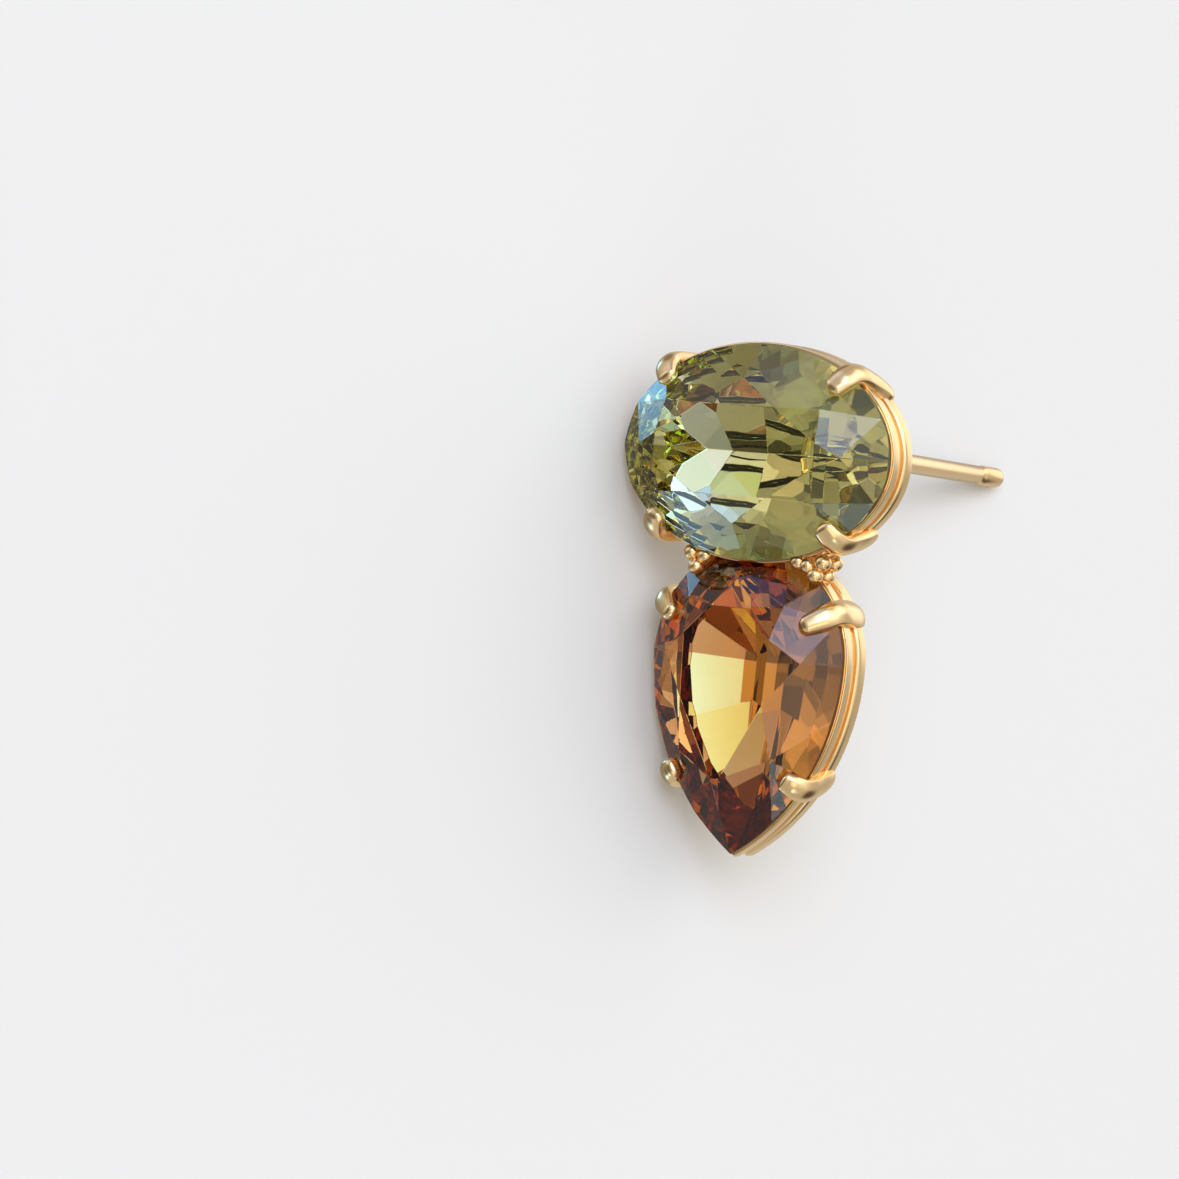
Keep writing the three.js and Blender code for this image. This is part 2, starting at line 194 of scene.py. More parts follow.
@dataclass(frozen=True)
class PearStoneSizes:
    """Sizes of the pear stone and its collar, in millimetres."""

    head_radius: float = 3.57
    length: float = 10.0
    tip_z: float = -13.07
    tip_room: float = 0.2
    side_room: float = 0.98
    front: float = 0.6
    rail_front: float = 0.38
    groove: float = 0.34
    rail_back: float = 0.51

    @property
    def centre(self) -> tuple[float, float]:
        """The place the pan narrows towards, across and up the face."""
        return (0.0, self.tip_z + self.length - self.head_radius)

    def at(self, s: float) -> Place:
        """Returns the girdle's place at s, which goes from 0 to 16 once round.

        The head is half a circle. Two arcs leave it smoothly and meet in the tip at 12.
        """
        r = self.head_radius
        drop = self.length - r
        head = self.tip_z + drop
        if s <= 8 or s >= 16:
            turn = s * math.pi / 8
            x, z = math.cos(turn), math.sin(turn)
            return Place(r * x, head + r * z, x, z)
        big = (r * r + drop * drop) / (2 * r)
        full = math.atan2(drop, big - r)
        if abs(s - 12) < 1e-6:
            return Place(0.0, self.tip_z, 0.0, -1.0, 1 / math.sin(full), self.tip_room)
        side = -1 if s < 12 else 1
        turn = full * ((s - 8) / 4 if s < 12 else (16 - s) / 4)
        x, z = math.cos(turn), math.sin(turn)
        from_middle = r - big + big * x
        room = self.side_room * from_middle / x
        return Place(side * from_middle, head - big * z, side * x, -z, room=room)


StoneSizes = OvalStoneSizes | PearStoneSizes


# ---- mesh helpers ----------------------------------------------------------------------


def new_piece(name: str, mesh: bpy.types.Mesh) -> bpy.types.Object:
    """Links a mesh to the scene as an object at the origin and returns it."""
    piece = bpy.data.objects.new(name, mesh)
    bpy.context.scene.collection.objects.link(piece)
    return piece


def face_outwards(work: bmesh.types.BMesh) -> None:
    """Turns a closed shell's faces outwards, whatever its size."""
    bmesh.ops.recalc_face_normals(work, faces=work.faces)
    if work.calc_volume(signed=True) < 0:
        bmesh.ops.reverse_faces(work, faces=work.faces)


def mesh_from(
    name: str, points: Sequence[Vector], faces: Sequence[Sequence[int]]
) -> bpy.types.Mesh:
    """Builds a mesh with its faces turned outwards.

    Args:
        name: the mesh's name.
        points: its vertices, in metres.
        faces: its faces, as vertex numbers.

    Returns:
        The mesh.
    """
    mesh = bpy.data.meshes.new(name)
    mesh.from_pydata([tuple(p) for p in points], [], [tuple(f) for f in faces])
    mesh.validate()
    work = bmesh.new()
    work.from_mesh(mesh)
    bmesh.ops.remove_doubles(work, verts=work.verts, dist=WELD)
    face_outwards(work)
    work.to_mesh(mesh)
    work.free()
    return mesh


def smooth(mesh: bpy.types.Mesh, sharp_from: float = 35.0) -> None:
    """Shades a mesh smoothly, apart from its edges over an angle.

    Args:
        mesh: the mesh.
        sharp_from: the angle in degrees from which an edge stays sharp.
    """
    mesh.shade_smooth()
    mesh.set_sharp_from_angle(angle=math.radians(sharp_from))


def lofted(name: str, rings: Sequence[Sequence[Vector]]) -> bpy.types.Mesh:
    """Skins rings with the same number of points, with a fan over each end.

    Args:
        name: the mesh's name.
        rings: the rings, in metres.

    Returns:
        The closed mesh.
    """
    count = len(rings[0])
    points = [p for ring in rings for p in ring]
    faces = [
        (r * count + i, r * count + (i + 1) % count,
         (r + 1) * count + (i + 1) % count, (r + 1) * count + i)
        for r in range(len(rings) - 1)
        for i in range(count)
    ]
    for first, ring in ((0, rings[0]), ((len(rings) - 1) * count, rings[-1])):
        middle = len(points)
        points.append(sum(ring, Vector()) / count)
        faces += [(middle, first + i, first + (i + 1) % count) for i in range(count)]
    return mesh_from(name, points, faces)


def rounded(
    corners: Sequence[tuple[float, float, float]], arc_steps: int = 5, side_steps: int = 3
) -> list[tuple[float, float]]:
    """Rounds the corners of a closed polygon.

    Args:
        corners: x, y and the rounding's radius of each corner.
        arc_steps: steps on each rounding.
        side_steps: steps on each side between two roundings.

    Returns:
        The points once round, without the first again.
    """
    most = 0.45  # of a side, so that two roundings never meet
    arcs = []
    for i, (x, y, radius) in enumerate(corners):
        here = Vector((x, y))
        before = Vector(corners[i - 1][:2]) - here
        after = Vector(corners[(i + 1) % len(corners)][:2]) - here
        half = before.angle(after) / 2
        reach = min(radius / math.tan(half), most * before.length, most * after.length)
        start = here + reach * before.normalized()
        end = here + reach * after.normalized()
        arcs.append([
            (1 - t) ** 2 * start + 2 * t * (1 - t) * here + t * t * end
            for t in (k / arc_steps for k in range(arc_steps + 1))
        ])
    points = []
    for i, arc in enumerate(arcs):
        after = arcs[(i + 1) % len(arcs)]
        points += arc
        points += [arc[-1].lerp(after[0], k / side_steps) for k in range(1, side_steps)]
    return [(p.x, p.y) for p in points]


# ---- node trees ------------------------------------------------------------------------


class NodeMaker:
    """Short ways to add to a node tree.

    Args:
        tree: the tree.
    """

    def __init__(self, tree: bpy.types.NodeTree) -> None:
        """Keeps the tree."""
        self.tree = tree

    def feed(self, entry: bpy.types.NodeSocket, value: object) -> None:
        """Links a socket to an input, or gives the input a plain value."""
        if isinstance(value, bpy.types.NodeSocket):
            self.tree.links.new(value, entry)
        else:
            entry.default_value = value

    def node(self, kind: str, links: dict[int | str, object] | None = None, **settings):
        """Adds a node.

        Args:
            kind: the node's type.
            links: for each input, by number or name, a socket to link or a plain value.
            settings: the node's own properties.

        Returns:
            The node.
        """
        made = self.tree.nodes.new(kind)
        for key, value in settings.items():
            setattr(made, key, value)
        for key, value in (links or {}).items():
            self.feed(made.inputs[key], value)
        return made

    def takes(self, kinds: dict[str, str]):
        """Gives a group its inputs, by name and kind, and returns their sockets."""
        for name, kind in kinds.items():
            self.tree.interface.new_socket(
                name, in_out="INPUT", socket_type=f"NodeSocket{kind}"
            )
        return self.node("NodeGroupInput").outputs

    def gives(self, results: dict[str, tuple[str, bpy.types.NodeSocket]]) -> None:
        """Gives a group its outputs, by name, each with its kind and what it shows."""
        for name, (kind, _) in results.items():
            self.tree.interface.new_socket(
                name, in_out="OUTPUT", socket_type=f"NodeSocket{kind}"
            )
        self.node("NodeGroupOutput", {name: shown for name, (_, shown) in results.items()})

    def maths(self, kind: str, operation: str, *values: object) -> bpy.types.NodeSocket:
        """Adds a node that works something out and returns its first output."""
        return self.node(kind, dict(enumerate(values)), operation=operation).outputs[0]

    def noise(self, scale: object, detail: float) -> bpy.types.NodeSocket:
        """Adds a noise in the object's coordinates and returns its value."""
        place = self.node("ShaderNodeTexCoord").outputs["Object"]
        made = self.node(
            "ShaderNodeTexNoise", {"Vector": place, "Scale": scale, "Detail": detail}
        )
        return made.outputs["Fac"]

    def mix(
        self, share: object, first: object, second: object, blend: str = "MIX"
    ) -> bpy.types.NodeSocket:
        """Adds a mix of two colours and returns its colour."""
        made = self.node(
            "ShaderNodeMix",
            {0: share, 6: first, 7: second},
            data_type="RGBA",
            blend_type=blend,
        )
        return made.outputs[2]


class TreeMaker(NodeMaker):
    """A Geometry Nodes tree that is read out as plain meshes.

    Args:
        name: the tree's name.
        kinds: its inputs beside the geometry and the material, by name and kind.
    """

    def __init__(self, name: str, kinds: dict[str, str]) -> None:
        """Starts the tree with its inputs."""
        super().__init__(bpy.data.node_groups.new(name, "GeometryNodeTree"))
        self.given = self.takes({"Geometry": "Geometry", **kinds, "Material": "Material"})

    def finish(self, geometry: bpy.types.NodeSocket) -> None:
        """Realizes the instances, sets the material and ends the tree."""
        whole = self.node("GeometryNodeRealizeInstances", {"Geometry": geometry})
        dressed = self.node(
            "GeometryNodeSetMaterial",
            {"Geometry": whole.outputs[0], "Material": self.given["Material"]},
        )
        self.gives({"Geometry": ("Geometry", dressed.outputs[0])})

    def mesh(self, name: str, base: bpy.types.Mesh, values: dict[str, object]):
        """Runs the tree on a mesh.

        Args:
            name: the name of the mesh that comes out.
            base: the mesh that goes in.
            values: the tree's inputs, by name.

        Returns:
            The plain mesh.
        """
        carrier = new_piece(f"{name}_carrier", base)
        modifier = carrier.modifiers.new(self.tree.name, "NODES")
        modifier.node_group = self.tree
        sockets = {s.name: s.identifier for s in self.tree.interface.items_tree}
        for key, value in values.items():
            modifier[sockets[key]] = value
        graph = bpy.context.evaluated_depsgraph_get()
        made = bpy.data.meshes.new_from_object(carrier.evaluated_get(graph))
        made.name = name
        carrier.modifiers.clear()
        bpy.data.objects.remove(carrier)
        return made


class SweptTree(TreeMaker):
    """Sweeps a section along an outline, with true mitres at its corners.

    The outline and the section are meshes of points only. Each outline point carries its
    outward step for one millimetre in the attribute `out` and the lowest such step that it
    takes in `lowest`. A section point is a step outwards in x and back in y.
    """

    def __init__(self) -> None:
        """Builds the tree."""
        super().__init__(
            "swept_section",
            {
                "Section": "Object",
                "Outline Points": "Int",
                "Section Points": "Int",
                "Back": "Vector",
            },
        )
        given = self.given
        count = given["Section Points"]
        grid = self.node(
            "GeometryNodeMeshGrid",
            {"Vertices X": given["Outline Points"], "Vertices Y": count},
        )
        index = self.node("GeometryNodeInputIndex").outputs[0]
        along, round_it = (
            self.maths("FunctionNodeIntegerMath", operation, index, count)
            for operation in ("DIVIDE_FLOOR", "MODULO")
        )
        section = self.node("GeometryNodeObjectInfo", {"Object": given["Section"]})
        position = self.node("GeometryNodeInputPosition").outputs[0]
        on_section = self.sample(section.outputs["Geometry"], position, round_it)
        step = self.node("ShaderNodeSeparateXYZ", {0: on_section}).outputs
        on_outline, step_out, lowest = (
            self.sample(given["Geometry"], value, along, kind)
            for value, kind in (
                (position, "FLOAT_VECTOR"),
                (self.attribute("out", "FLOAT_VECTOR"), "FLOAT_VECTOR"),
                (self.attribute("lowest", "FLOAT"), "FLOAT"),
            )
        )
        outwards = self.maths("ShaderNodeMath", "MAXIMUM", step[0], lowest)
        moves = (
            self.node("ShaderNodeVectorMath", {0: way, "Scale": length}, operation="SCALE")
            for way, length in ((step_out, outwards), (given["Back"], step[1]))
        )
        offset = self.maths("ShaderNodeVectorMath", "ADD", *(m.outputs[0] for m in moves))
        place = self.maths("ShaderNodeVectorMath", "ADD", on_outline, offset)
        placed = self.node(
            "GeometryNodeSetPosition", {"Geometry": grid.outputs[0], "Position": place}
        )
        closed = self.node(
            "GeometryNodeMergeByDistance", {"Geometry": placed.outputs[0], "Distance": WELD}
        )
        self.finish(closed.outputs[0])

    def attribute(self, name: str, kind: str) -> bpy.types.NodeSocket:
        """Returns a named attribute."""
        return self.node(
            "GeometryNodeInputNamedAttribute", {"Name": name}, data_type=kind
        ).outputs[0]

    def sample(self, geometry, value, index, kind: str = "FLOAT_VECTOR"):
        """Returns an attribute's value at an index of a geometry's points."""
        return self.node(
            "GeometryNodeSampleIndex",
            {"Geometry": geometry, "Value": value, "Index": index},
            data_type=kind,
        ).outputs[0]


class BeadTree(TreeMaker):
    """Sets a round bead on each point, each a little larger or smaller than the next."""

    def __init__(self) -> None:
        """Builds the tree."""
        super().__init__(
            "bead_cluster", {"Radius": "Float", "Spread": "Float", "Seed": "Int"}
        )
        given = self.given
        ball = self.node(
            "GeometryNodeMeshIcoSphere", {"Radius": given["Radius"], "Subdivisions": 5}
        )
        smallest, largest = (
            self.maths("ShaderNodeMath", operation, 1.0, given["Spread"])
            for operation in ("SUBTRACT", "ADD")
        )
        size = self.node(
            "FunctionNodeRandomValue",
            {2: smallest, 3: largest, "Seed": given["Seed"]},
            data_type="FLOAT",
        )
        points = self.node("GeometryNodeMeshToPoints", {"Mesh": given["Geometry"]})
        beads = self.node(
            "GeometryNodeInstanceOnPoints",
            {
                "Points": points.outputs[0],
                "Instance": ball.outputs[0],
                "Scale": size.outputs[1],
            },
        )
        self.finish(beads.outputs[0])


# ---- finishes --------------------------------------------------------------------------


class Shading(NodeMaker):
    """A material's node tree round its Principled shader.

    Args:
        name: the material's name.
    """

    def __init__(self, name: str) -> None:
        """Starts the material."""
        self.material = bpy.data.materials.new(name)
        self.material.use_nodes = True
        super().__init__(self.material.node_tree)

    def set(self, **values: object) -> None:
        """Sets or links the Principled shader's sockets, spaces written as _."""
        shader = self.tree.nodes["Principled BSDF"]
        for key, value in values.items():
            self.feed(shader.inputs[key.replace("_", " ")], value)


def polish_group() -> bpy.types.NodeTree:
    """Builds the group that both metal finishes use for the marks of hand polishing.

    Returns:
        A group with how close the waves and the fine marks are, the waves' height, the
        roughness and its spread as inputs, and a mask, a roughness and a normal as
        outputs.
    """
    group = NodeMaker(bpy.data.node_groups.new("hand_polish", "ShaderNodeTree"))
    given = group.takes({
        "Waves per Metre": "Float",
        "Marks per Metre": "Float",
        "Wave Height": "Float",
        "Roughness": "Float",
        "Roughness Spread": "Float",
    })
    waves = group.noise(given["Waves per Metre"], 1.0)
    marks = group.noise(given["Marks per Metre"], 4.0)
    roughness = group.maths(
        "ShaderNodeMath", "MULTIPLY_ADD", marks, given["Roughness Spread"], given["Roughness"]
    )
    bump = group.node(
        "ShaderNodeBump",
        {"Distance": 0.1 * MM, "Strength": given["Wave Height"], "Height": waves},
    )
    group.gives({
        "Mask": ("Float", waves),
        "Roughness": ("Float", roughness),
        "Normal": ("Vector", bump.outputs[0]),
    })
    return group.tree


@dataclass(frozen=True)
class GoldFinish:
    """Polished pale gold.

    Args:
        name: the material's name.
        thin: the colour where the plating is thin.
        full: the colour where it is full.
        roughness: the roughness between marks.
        spread: how much the marks add to it.
        waves: how high the slow waves stand, from 0 to 1.
        waves_per_metre: how close the slow waves are.
        marks_per_metre: how close the fine marks are.
    """

    name: str
    thin: Colour
    full: Colour
    roughness: float
    spread: float
    waves: float
    waves_per_metre: float = 600.0
    marks_per_metre: float = 9000.0

    def material(self, polish: bpy.types.NodeTree) -> bpy.types.Material:
        """Returns the finish as a material."""
        shading = Shading(self.name)
        marks = shading.node(
            "ShaderNodeGroup",
            {
                "Waves per Metre": self.waves_per_metre,
                "Marks per Metre": self.marks_per_metre,
                "Wave Height": self.waves,
                "Roughness": self.roughness,
                "Roughness Spread": self.spread,
            },
            node_tree=polish,
        ).outputs
        shading.set(
            Base_Color=shading.mix(marks["Mask"], self.thin, self.full),
            Metallic=1.0,
            Roughness=marks["Roughness"],
            Normal=marks["Normal"],
        )
        return shading.material


@dataclass(frozen=True)
class CrystalFinish:
    """Cut crystal: clear glass in front and a tinted foil behind.

    Args:
        name: what the two materials' names start with.
        ior: the glass's index of refraction.
        tints: two glass colours that drift into each other through the stone.
        foils: two foil colours that drift into each other over the back.
        soaked: the colour that the glass takes light towards.
        density: how fast it does, per metre.
        girdle_shadow_colours: the ground edge's two near-black colours, a painted shadow for
            the dark line where the stone meets its rail.
        zones: how many colour zones there are to a metre.
        pure: the zone noise's values at which the first and the second colour are pure.
    """

    name: str
    ior: float
    tints: tuple[Colour, Colour]
    foils: tuple[Colour, Colour]
    soaked: Colour
    density: float
    girdle_shadow_colours: tuple[Colour, Colour]
    zones: float
    pure: tuple[float, float] = (0.38, 0.62)

    def zone_mix(
        self, shading: Shading, colours: tuple[Colour, Colour], detail: float = 0.0
    ) -> bpy.types.NodeSocket:
        """Adds slow zones of two colours and returns their colour socket."""
        first, second = self.pure
        zones = shading.noise(self.zones, detail)
        share = shading.node("ShaderNodeMapRange", {0: zones, 1: first, 2: second})
        return shading.mix(share.outputs[0], *colours)

    def crown(self) -> bpy.types.Material:
        """Returns the glass."""
        shading = Shading(f"{self.name}_glass")
        shading.set(
            Base_Color=self.zone_mix(shading, self.tints),
            Metallic=0.0,
            Roughness=0.0,
            IOR=self.ior,
            Transmission_Weight=1.0,
        )
        soak = shading.node(
            "ShaderNodeVolumeAbsorption", {"Color": self.soaked, "Density": self.density}
        )
        output = shading.tree.nodes["Material Output"]
        shading.feed(output.inputs["Volume"], soak.outputs[0])
        return shading.material

    def girdle(self) -> bpy.types.Material:
        """Returns the finely ground edge between front and back, near black with painted
        shadow of the gap at the rail.
        """
        shading = Shading(f"{self.name}_girdle")
        grain = shading.noise(20000.0, 2.0)
        rough = shading.node("ShaderNodeMapRange", {0: grain, 3: 0.3, 4: 0.6})
        shading.set(
            # the girdle's near-black colours are painted shadow of the gap between stone and
            # rail
            Base_Color=self.zone_mix(shading, self.girdle_shadow_colours), Roughness=rough.outputs[0]
        )
        return shading.material

    def pavilion(self) -> bpy.types.Material:
        """Returns the foil."""
        shading = Shading(f"{self.name}_foil")
        shading.set(
            Base_Color=self.zone_mix(shading, self.foils, 1.0),
            Metallic=1.0,
            Roughness=0.0,
        )
        return shading.material

    def materials(self) -> tuple[bpy.types.Material, ...]:
        """Returns the finishes of the crown, the girdle with its painted shadow, and the back.
        """
        return self.crown(), self.girdle(), self.pavilion()


@dataclass(frozen=True)
class FloorFinish:
    """Smooth pale matt board."""

    colour: Colour = (0.79, 0.81, 0.84, 1.0)

    def material(self) -> bpy.types.Material:
        """Returns the finish as a material."""
        shading = Shading("pale_board")
        grain = shading.noise(900.0, 3.0)
        bump = shading.node(
            "ShaderNodeBump", {"Height": grain, "Strength": 0.02, "Distance": 0.05 * MM}
        )
        shading.set(
            Base_Color=self.colour,
            Roughness=0.9,
            Specular_IOR_Level=0.0,
            Normal=bump.outputs[0],
        )
        return shading.material


@dataclass
class Finishes:
    """All the finishes of the earring, made once."""

    gold: bpy.types.Material
    # a paler copy of the gold for the groove: painted light that lightens the recess's shade
    deep_gold: bpy.types.Material
    olive: tuple[bpy.types.Material, ...]
    amber: tuple[bpy.types.Material, ...]

    @classmethod
    def made(cls) -> Finishes:
        """Makes the materials."""
        polish = polish_group()
        olive = CrystalFinish(
            name="olive_crystal",
            ior=1.6,
            tints=((1.0, 1.0, 1.0, 1.0), (0.97, 0.97, 1.0, 1.0)),
            foils=((0.95, 0.92, 0.72, 1.0), (0.9, 0.86, 0.6, 1.0)),
            soaked=(0.75, 0.75, 0.0, 1.0),
            density=80.0,
            # near-black girdle colours: painted shadow of the gap at the rail
            girdle_shadow_colours=((0.08, 0.07, 0.03, 1.0), (0.1, 0.085, 0.04, 1.0)),
            zones=260.0,
        )
        amber = CrystalFinish(
            name="amber_crystal",
            ior=1.6,
            tints=((1.0, 1.0, 1.0, 1.0), (1.0, 0.97, 0.94, 1.0)),
            foils=((0.96, 0.92, 0.72, 1.0), (0.92, 0.83, 0.58, 1.0)),
            soaked=(0.86, 0.55, 0.0, 1.0),
            density=340.0,
            # near-black girdle colours: painted shadow of the gap at the rail
            girdle_shadow_colours=((0.09, 0.03, 0.012, 1.0), (0.12, 0.04, 0.018, 1.0)),
            zones=260.0,
        )
        return cls(
            gold=GoldFinish(
                "polished_gold",
                (0.98, 0.71, 0.38, 1.0), (1.0, 0.76, 0.44, 1.0), 0.2, 0.06, 0.05,
            ).material(polish),
            # the groove's gold is paler and less orange than the polished gold: painted light
            # against the shade between the rails
            deep_gold=GoldFinish(
                "groove_paler_painted_light",
                (0.96, 0.8, 0.55, 1.0), (0.98, 0.84, 0.62, 1.0), 0.22, 0.08, 0.08,
            ).material(polish),
            olive=olive.materials(),
            amber=amber.materials(),
        )


# ---- metal -----------------------------------------------------------------------------


def as_gold(piece: bpy.types.Object, material: bpy.types.Material) -> bpy.types.Object:
    """Dresses a metal piece and fastens it to the earring in the setting's place."""
    if not piece.data.materials:
        piece.data.materials.append(material)
    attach(piece, BODY)
    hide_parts("setting")
    LOG.info("%s: %d faces", piece.name, len(piece.data.polygons))
    return piece


@dataclass
class Cup:
    """One stone's collar and closed pan.

    Sections are given as steps outwards from the girdle and back from its front edge, in
    millimetres. The pan's are given as a share of the outline in place of the first.

    Args:
        name: what the pieces' names start with.
        axes: the earring's axes.
        stone: the stone's sizes.
        sweep: the tree that sweeps a section.
        collar_front: how far back the collar starts.
        proud: how far the rails stand out from the girdle.
        seat: how far inside the girdle their inner sides start.
        bearing: how far these go in for each millimetre back.
        edge: the rounding of their rear outer edges.
        front_edges: the rounding of the front and the back rail's front outer edge.
        inner_edge: the rounding of their inner edges.
        groove_in: how far inside the girdle the groove's floor is.
        groove_half: how far the floor goes in under each rail.
        thin_edge: the rounding of thin edges out of sight.
        pan_top: the pan's share of the outline inside the back rail.
        pan_mouth: its share where it leaves the rail.
        pan_floor: its share at its flat end.
        pan_depth: how far back this end is.
        pan_lap: how far the pan goes into the back rail.
        wall: its thickness.
        steps: steps on the outline between two of its sixteen parts.
    """

    name: str
    axes: EarringAxes
    stone: StoneSizes
    sweep: SweptTree
    collar_front: float = 0.24
    proud: float = 0.08
    seat: float = 0.03
    bearing: float = 0.62
    edge: float = 0.07
    front_edges: tuple[float, float] = (0.05, 0.16)
    inner_edge: float = 0.02
    groove_in: float = 0.12
    groove_half: float = 0.12
    thin_edge: float = 0.01
    pan_top: float = 0.95
    pan_mouth: float = 0.76
    pan_floor: float = 0.34
    pan_depth: float = 3.5
    pan_lap: float = 0.02
    wall: float = 0.2
    steps: int = 14

    @property
    def front_end(self) -> float:
        """How far back the front rail ends."""
        return self.collar_front + self.stone.rail_front

    @property
    def back_start(self) -> float:
        """How far back the back rail starts."""
        return self.front_end + self.stone.groove

    @property
    def back_end(self) -> float:
        """How far back the back rail ends."""
        return self.back_start + self.stone.rail_back

    def swept(
        self,
        part: str,
        section: Iterable[tuple[float, float]],
        material: bpy.types.Material,
        by_share: bool = False,
    ) -> bpy.types.Object:
        """Sweeps a closed section round the stone.

        Args:
            part: what the piece is.
            section: steps outwards, or shares of the outline, and steps back.
            material: its finish.
            by_share: True where the section's first number is a share of the outline.

        Returns:
            The piece.
        """
        centre = self.stone.centre
        places = [self.stone.at(i / self.steps) for i in range(16 * self.steps)]
        places.append(places[0])
        outline = bpy.data.meshes.new(f"{self.name}_outline")
        outline.from_pydata(
            [self.axes.point(p.x, self.stone.front, p.z) for p in places], [], []
        )
        outline.attributes.new("out", "FLOAT_VECTOR", "POINT")
        outline.attributes.new("lowest", "FLOAT", "POINT")
        out, lowest = (outline.attributes[name].data for name in ("out", "lowest"))
        for i, p in enumerate(places):
            across, up = (
                (p.x - centre[0], p.z - centre[1])
                if by_share
                else (p.out_x * p.mitre, p.out_z * p.mitre)
            )
            out[i].vector = MM * self.axes.direction(across, 0, up)
            lowest[i].value = -1.0 if by_share else -p.room
        closed = list(section)
        closed.append(closed[0])
        shape = bpy.data.meshes.new(f"{self.name}_section")
        on_outline = 1.0 if by_share else 0.0
        shape.from_pydata([(x - on_outline, y, 0.0) for x, y in closed], [], [])
        section_object = new_piece(f"{self.name}_section", shape)
        mesh = self.sweep.mesh(
            f"{self.name}_{part}",
            outline,
            {
                "Section": section_object,
                "Outline Points": len(places),
                "Section Points": len(closed),
                "Back": tuple(MM * self.axes.back),
                "Material": material,
            },
        )
        bpy.data.objects.remove(section_object)
        work = bmesh.new()
        work.from_mesh(mesh)
        face_outwards(work)
        work.to_mesh(mesh)
        work.free()
        smooth(mesh)
        return new_piece(f"{self.name}_{part}", mesh)

    def rail(
        self, start: float, end: float, front_edge: float
    ) -> list[tuple[float, float]]:
        """Returns a rail's section.

        Its inner side slopes with the stone's back, so that the stone sits in it.

        Args:
            start: the depth of its front.
            end: the depth of its back.
            front_edge: the rounding of its front outer edge.
        """
        front, back = (
            -self.seat - self.bearing * (depth - self.collar_front) for depth in (start, end)
        )
        return rounded([
            (self.proud, start, front_edge),
            (self.proud, end, self.edge),
            (back, end, self.inner_edge),
            (front, start, self.inner_edge),
        ])

    def build(self, finishes: Finishes) -> list[bpy.types.Object]:
        """Builds the two rails, the groove between them and the pan."""
        thin, mouth, floor = self.thin_edge, self.pan_mouth, self.pan_floor
        top, lap, end = self.back_end - self.wall, self.back_end - self.pan_lap, self.pan_depth
        pan = rounded([
            (self.pan_top, top, thin),
            (self.pan_top, lap, thin),
            (mouth, lap, 0.05),
            (floor, end, 0.15),
            (0.0, end, 0.0),
            (0.0, end - self.wall, 0.0),
            (floor - 0.02, end - self.wall, 0.1),
            (mouth - 0.05, top, 0.05),
        ])
        start, stop = self.front_end - self.groove_half, self.back_start + self.groove_half
        groove = rounded([
            (-self.groove_in, start, thin),
            (-self.groove_in, stop, thin),
            (-self.groove_in - 0.2, stop, thin),
            (-self.groove_in - 0.1, start, thin),
        ])
        front_rail = self.rail(self.collar_front, self.front_end, self.front_edges[0])
        back_rail = self.rail(self.back_start, self.back_end, self.front_edges[1])
        pieces = [
            self.swept("front_rail", front_rail, finishes.gold),
            self.swept("back_rail", back_rail, finishes.gold),
            # the groove takes the paler gold, painted light in the recess between the rails
            self.swept("groove", groove, finishes.deep_gold),
            self.swept("pan", pan, finishes.gold, by_share=True),
        ]
        return [as_gold(piece, finishes.gold) for piece in pieces]


@dataclass(frozen=True)
class ClawPair:
    """A claw on a stone's right side and one across from it, in millimetres and degrees.

    Args:
        name: what the two pieces' names start with.
        x: where they cross the outline, to either side.
        z: where they cross the outline, up.
        lean: the way they point over the crown, above the line across.
        reach: how far inside the outline their tips end.
        tip: the tips' width as a share of a claw's.
        drifts: how far the right and the left foot stand round the outline from there.
        front: the depth of their stone's girdle.
    """

    name: str
    x: float
    z: float
    lean: float
    reach: float
    tip: float
    drifts: tuple[float, float]
    front: float


class Station(NamedTuple):
    """A claw's section: steps outwards and back from the girdle, half its width, half its
    thickness and how crisp its shoulders are, from 0 to 1."""

    out: float
    back: float
    width: float
    thickness: float
    crisp: float


